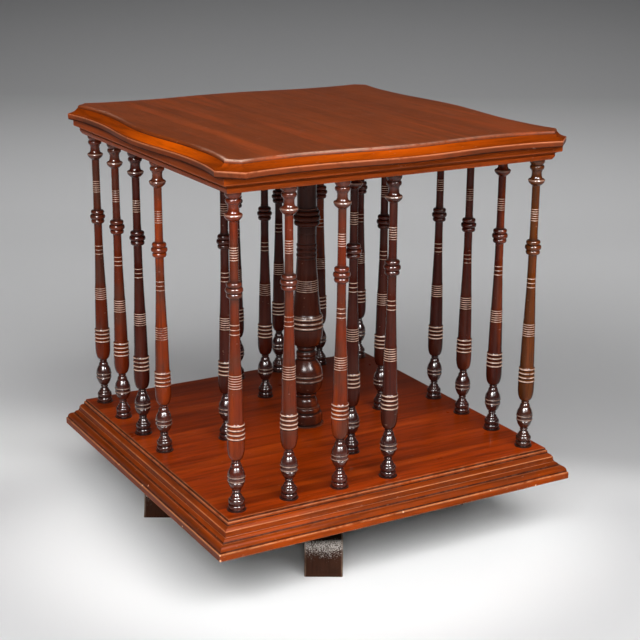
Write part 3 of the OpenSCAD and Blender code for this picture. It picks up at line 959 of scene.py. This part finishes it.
class BOOKSTAND_OT_spindles(bpy.types.Operator):
    """Turn the twenty spindles and set each on its CAD node's axis"""

    bl_idname = "bookstand.spindles"
    bl_label = "Spindles"

    def execute(self, context):
        colour = polish().spindle
        tints = {
            "dark": colour,
            "brown": blended(colour, tone(150, 54, 16), 0.44),
            "orange": blended(colour, tone(150, 56, 12), 0.6),
            "olive": blended(colour, tone(92, 48, 8), 0.7),
        }
        woods = {
            kind: wood(
                f"spindle_{kind}_wood", tint, ALONG_Z, rough=0.14, wear=0.9, gloss=0.15, pale_marks=WORN_AND_HIGHLIGHT,
                figure=0.8, streak=0.55, dust=0.2 if kind in ("dark", "olive") else 0.6,
                dark_foot=PANEL_Z + DARK_FOOT_H * MM)
            for kind, tint in tints.items()}
        kinds = {"left_4": "orange", "right_1": "olive"}
        kinds.update(dict.fromkeys(("front_1", "front_2", "front_3", "left_1", "left_2"), "brown"))
        nodes = sorted(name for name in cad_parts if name.startswith("spindle_"))
        pattern = turned_mesh("spindle_pattern", spindle_outline(), CLEAR_H)
        for number, node in enumerate(nodes):
            low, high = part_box(node)
            middle = Vector(((low[0] + high[0]) / 2, (low[1] + high[1]) / 2, PANEL_Z))
            mesh = pattern.copy()
            mesh.transform(Matrix.Translation(middle) @ Matrix.Rotation(number * SPINDLE_TURN, 4, "Z"))
            finish = woods[kinds.get(node.removeprefix("spindle_"), "dark")]
            place_piece(mesh, node + "_turned", "case", [finish], [node])
        bpy.data.meshes.remove(pattern)
        return {"FINISHED"}


class BOOKSTAND_OT_column(bpy.types.Operator):
    """Turn the centre column"""

    bl_idname = "bookstand.column"
    bl_label = "Column"

    def execute(self, context):
        finish = wood(
            "column_wood_polish", polish().column, ALONG_Z, rough=0.14, wear=0.6, gloss=0.15, pale_marks=WORN_AND_HIGHLIGHT)
        mesh = turned_mesh("column_turned", column_outline(), CLEAR_H)
        mesh.transform(Matrix.Translation((0, 0, PANEL_Z)))
        place_piece(mesh, "column_turned", "case", [finish], ["column"])
        return {"FINISHED"}


class BOOKSTAND_OT_top(bpy.types.Operator):
    """Shape the serpentine top with its moulded edge"""

    bl_idname = "bookstand.top"
    bl_label = "Shaped top"

    def execute(self, context):
        colours = polish()
        finishes = [
            wood("top_face_polish", colours.top, ALONG_Y, rough=0.36, wear=0.75, scratch=0.5, pale_marks=WORN_AND_HIGHLIGHT)]
        for name, grain in GRAINS:
            # The hollow's pale marks are painted light
            finishes.append(wood(
                "top_edge_polish_" + name, colours.edge, grain, rough=0.3, streak=0.6, wear=0.9, gloss=0.01,
                pale_marks=tone(226, 96, 3)))
            finishes.append(wood(
                "top_square_polish_" + name, colours.fascia, grain, rough=0.3, dust=0.4, wear=0.9,
                gloss=0.03))
        shaped_top(finishes)
        return {"FINISHED"}


class BOOKSTAND_OT_rails(bpy.types.Operator):
    """Run the mitred mouldings round the base and under the top"""

    bl_idname = "bookstand.rails"
    bl_label = "Moulded rails"

    def execute(self, context):
        colours = polish()
        base_woods = [
            wood(
                "base_rail_polish_" + name, colours.base_rail, grain, rough=0.24, figure=0.9, streak=0.6,
                wear=0.9, scratch=0.25, gloss=0.04, pale_marks=tone(218, 144, 96), dark_marks=DIRT, dust=0.25,
                spots=CHIPS, stain=PALE, underside=base_low[2])
            for name, grain in GRAINS]
        frame_woods = [
            wood("frame_rail_polish_" + name, colours.frame_rail, grain, rough=0.26, gloss=0.05, figure=0.8)
            for name, grain in GRAINS]
        for side, name in enumerate(SIDES):
            mitred_rail(
                f"base_rail_{name}_finished", base_section(), BASE_W, base_low[2], side,
                base_woods[side % 2])
            mitred_rail(
                f"frame_rail_{name}_finished", frame_section(), FRAME_W, FRAME_Z, side,
                frame_woods[side % 2])
        return {"FINISHED"}


class BOOKSTAND_OT_boards(bpy.types.Operator):
    """Polish the base board and the frame board"""

    bl_idname = "bookstand.boards"
    bl_label = "Boards"

    def execute(self, context):
        colours = polish()
        feet = []
        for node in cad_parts:
            if node.startswith("spindle_") or node == "column":
                low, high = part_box(node)
                middle = [(a + b) / 2 / MM for a, b in zip(low, high)]
                radius = (high[0] - low[0]) / 2 / MM + STAIN_PAST_FOOT
                feet.append((middle[0], middle[1], PANEL_Z / MM, radius))
        # The board is darkened with painted shade towards the case's back
        repaint("base_board", wood(
            "base_board_polish", colours.base, ALONG_X, rough=0.24, figure=1.0, streak=0.6, glow=0.5,
            gloss=0.06, painted_back_shade=0.8, spots=feet, stain=tone(100, 50, 26), underside=base_low[2]))
        repaint("frame_board", wood("frame_board_polish", colours.fascia, ALONG_Y, rough=0.45))
        return {"FINISHED"}


class BOOKSTAND_OT_stand(bpy.types.Operator):
    """Make the two arms of the cross and finish the iron, steel and brass fittings"""

    bl_idname = "bookstand.stand"
    bl_label = "Stand and fittings"

    def execute(self, context):
        stain = stained_wood("stand_stain", polish().stand)
        top = ARM_TOP / MM
        stand_arm("arm_lower_finished", 90.0, 0, top / 2, stain)
        stand_arm("arm_upper_finished", 0.0, top / 2, top, stain)
        iron = metal("old_iron", tone(92, 90, 88), 0.45, tone(70, 44, 30))
        steel = metal("old_steel", tone(150, 146, 140), 0.35, tone(96, 80, 66))
        brass = metal("old_brass", tone(196, 160, 92), 0.3, tone(120, 84, 44))
        for node, finish in (
                ("pivot_pin", iron), ("bearing_plate", iron), ("pivot_screws", steel),
                ("bearing_screws", steel), ("thrust_washer", brass)):
            repaint(node, finish)
        return {"FINISHED"}


def way_to(azimuth, elevation):
    """The way from the stand to a camera or lamp at these angles."""
    level = math.cos(elevation)
    return Vector((math.sin(azimuth) * level, -math.cos(azimuth) * level, math.sin(elevation)))


# Lamps: name, azimuth and elevation in degrees, distance and size in metres, power in watts, whether it
# lights the surfaces and whether it shows in the polish
LAMPS = (
    ("left_box", -44.0, 37.5, 2.1, 1.3, 31.0, True, True),
    ("right_box", 3.0, 41.0, 2.2, 1.3, 35.0, True, True),
    ("left_glint", -46.0, 40.0, 2.0, 0.6, 90.0, False, True),
    ("right_glint", 8.0, 42.0, 2.2, 0.6, 115.0, False, True),
    ("front_fill", -28.0, 9.0, 2.4, 0.7, 10.5, True, False),
    ("back_fill", 150.0, 14.0, 2.4, 1.3, 12.0, True, False))
LAMPS_AIM = Vector((0, 0, 0.2))
WORLD_STRENGTH = 0.07


class BOOKSTAND_OT_stage(bpy.types.Operator):
    """Lay the floor and backdrop, hang the lamps and set up the camera"""

    bl_idname = "bookstand.stage"
    bl_label = "Stage"

    def execute(self, context):
        stage = context.scene.bookstand_stage
        self.backdrop(about_z(stage.azimuth))
        self.lamps()
        self.camera(context.scene, stage)
        return {"FINISHED"}

    def backdrop(self, ahead):
        """A floor that curves up into a wall far behind the stand."""
        made = bmesh.new()
        front, bend, back, top, wing, steps = -8.0, 1.2, 2.4, 2.6, 8.0, 12
        line = [(-wing, front, 0)]
        for i in range(steps + 1):
            line.append((-wing, bend + (back - bend) * early(i / steps), (back - bend) * late(i / steps)))
        line.append((-wing, back, top))
        verts = [made.verts.new(spot) for spot in line]
        edges = [made.edges.new(pair) for pair in zip(verts, verts[1:])]
        grown = bmesh.ops.extrude_edge_only(made, edges=edges)["geom"]
        bmesh.ops.translate(made, verts=only(BMVert, grown), vec=(2 * wing, 0, 0))
        bmesh.ops.rotate(made, verts=made.verts, cent=(0, 0, 0), matrix=ahead)
        mesh = to_mesh(made, "backdrop")
        for face in mesh.polygons:
            face.use_smooth = True
        mesh.materials.append(self.paper(ahead))
        sweep_back = bpy.data.objects.new("backdrop", mesh)
        bpy.context.scene.collection.objects.link(sweep_back)

    def paper(self, ahead):
        """Backdrop paper: a painted pool of light, an oval round the stand, greyer in front of it,
        painted shade behind it that deepens to the right, and darker up the wall."""
        graph = Graph("backdrop_paper")
        depth = graph.vector("DOT_PRODUCT", graph.place, tuple(ahead @ Vector((0, 1, 0))))
        across = graph.vector("DOT_PRODUCT", graph.place, tuple(ahead @ Vector((1, 0, 0))))
        height = graph.height()
        wide = across * 0.89
        deep = depth + 0.05
        away = (wide * wide + deep * deep) ** 0.5
        # Painted pool of light: brightest in an oval round the stand, greyer outside it towards the front
        beyond_painted_pool = away.smooth(0.19, 0.32) * (1.0 - depth.smooth(-0.02, 0.12))
        shade = graph.mix(beyond_painted_pool, tone(249, 249, 249), tone(212, 212, 213))
        # Painted shade behind the stand, deeper to the right
        behind = graph.mix(across.ramp(-0.4, 0.4), tone(226, 226, 227), tone(182, 182, 183))
        shade = graph.mix((depth + across * 0.275).smooth(0.08, 0.24), shade, behind)
        shade = graph.mix(depth.smooth(0.3, 1.1), shade, tone(236, 236, 237))
        shade = graph.mix(height.ramp(0.0, 0.17), shade, tone(162, 162, 163))
        shade = graph.mix(height.ramp(0.17, 0.36), shade, tone(124, 124, 125))
        shade = graph.mix(height.smooth(0.36, 1.0), shade, tone(90, 90, 91))
        return graph.finish(base_color=shade, roughness=0.9, specular_ior_level=0.1)

    def lamps(self):
        """Soft boxes, small lamps that only glint in the polish, low fills that don't, and an even world."""
        for name, azimuth, elevation, distance, size, power, lights, glints in LAMPS:
            lamp = bpy.data.lights.new(name, "AREA")
            lamp.shape = "SQUARE"
            lamp.size = size
            lamp.energy = power
            holder = bpy.data.objects.new(name, lamp)
            holder.visible_camera = False
            holder.visible_diffuse = lights
            holder.visible_glossy = glints
            away = way_to(math.radians(azimuth), math.radians(elevation))
            holder.location = LAMPS_AIM + away * distance
            holder.rotation_euler = away.to_track_quat("Z", "Y").to_euler()
            bpy.context.scene.collection.objects.link(holder)
        world = bpy.data.worlds.new("studio_fill")
        world.use_nodes = True
        background = world.node_tree.nodes["Background"]
        background.inputs["Color"].default_value = (1, 1, 1, 1)
        background.inputs["Strength"].default_value = WORLD_STRENGTH
        bpy.context.scene.world = world

    def camera(self, scene, stage):
        lens = bpy.data.cameras.new("camera")
        lens.sensor_width = 36.0
        lens.lens = stage.lens
        lens.clip_start = 0.05
        holder = bpy.data.objects.new("camera", lens)
        away = way_to(stage.azimuth, stage.elevation)
        level = Vector((math.cos(stage.azimuth), math.sin(stage.azimuth), 0))
        up = away.cross(level)
        right = level * math.cos(stage.roll) + up * math.sin(stage.roll)
        above = up * math.cos(stage.roll) - level * math.sin(stage.roll)
        place = Matrix((right, above, away)).transposed().to_4x4()
        place.translation = Vector(stage.target) + away * stage.distance
        holder.matrix_world = place
        scene.collection.objects.link(holder)
        scene.camera = holder
        scene.view_settings.view_transform = "Standard"


class BOOKSTAND_PT_panel(bpy.types.Panel):
    """Lists the pieces of the bookstand"""

    bl_label = "Revolving bookstand"
    bl_idname = "BOOKSTAND_PT_panel"
    bl_space_type = "VIEW_3D"
    bl_region_type = "UI"
    bl_category = "Bookstand"

    def draw(self, context):
        column = self.layout.column()
        for step in STEPS:
            column.operator(step.bl_idname)
        for group in (polish(), turning(), context.scene.bookstand_stage):
            box = self.layout.box()
            for name in group.__annotations__:
                box.prop(group, name)


STEPS = (
    BOOKSTAND_OT_spindles, BOOKSTAND_OT_column, BOOKSTAND_OT_top, BOOKSTAND_OT_rails, BOOKSTAND_OT_boards,
    BOOKSTAND_OT_stand, BOOKSTAND_OT_stage)
GROUPS = {
    "bookstand_polish": BookstandPolish,
    "bookstand_turning": BookstandTurning,
    "bookstand_stage": BookstandStage,
}


def register():
    for group in GROUPS.values():
        bpy.utils.register_class(group)
    for step in (*STEPS, BOOKSTAND_PT_panel):
        bpy.utils.register_class(step)
    for name, group in GROUPS.items():
        setattr(bpy.types.Scene, name, PointerProperty(type=group))


def unregister():
    for name in GROUPS:
        delattr(bpy.types.Scene, name)
    for step in (BOOKSTAND_PT_panel, *reversed(STEPS)):
        bpy.utils.unregister_class(step)
    for group in GROUPS.values():
        bpy.utils.unregister_class(group)


def main():
    register()
    for step in STEPS:
        group, name = step.bl_idname.split(".")
        getattr(getattr(bpy.ops, group), name)()


if __name__ == "__main__":
    main()
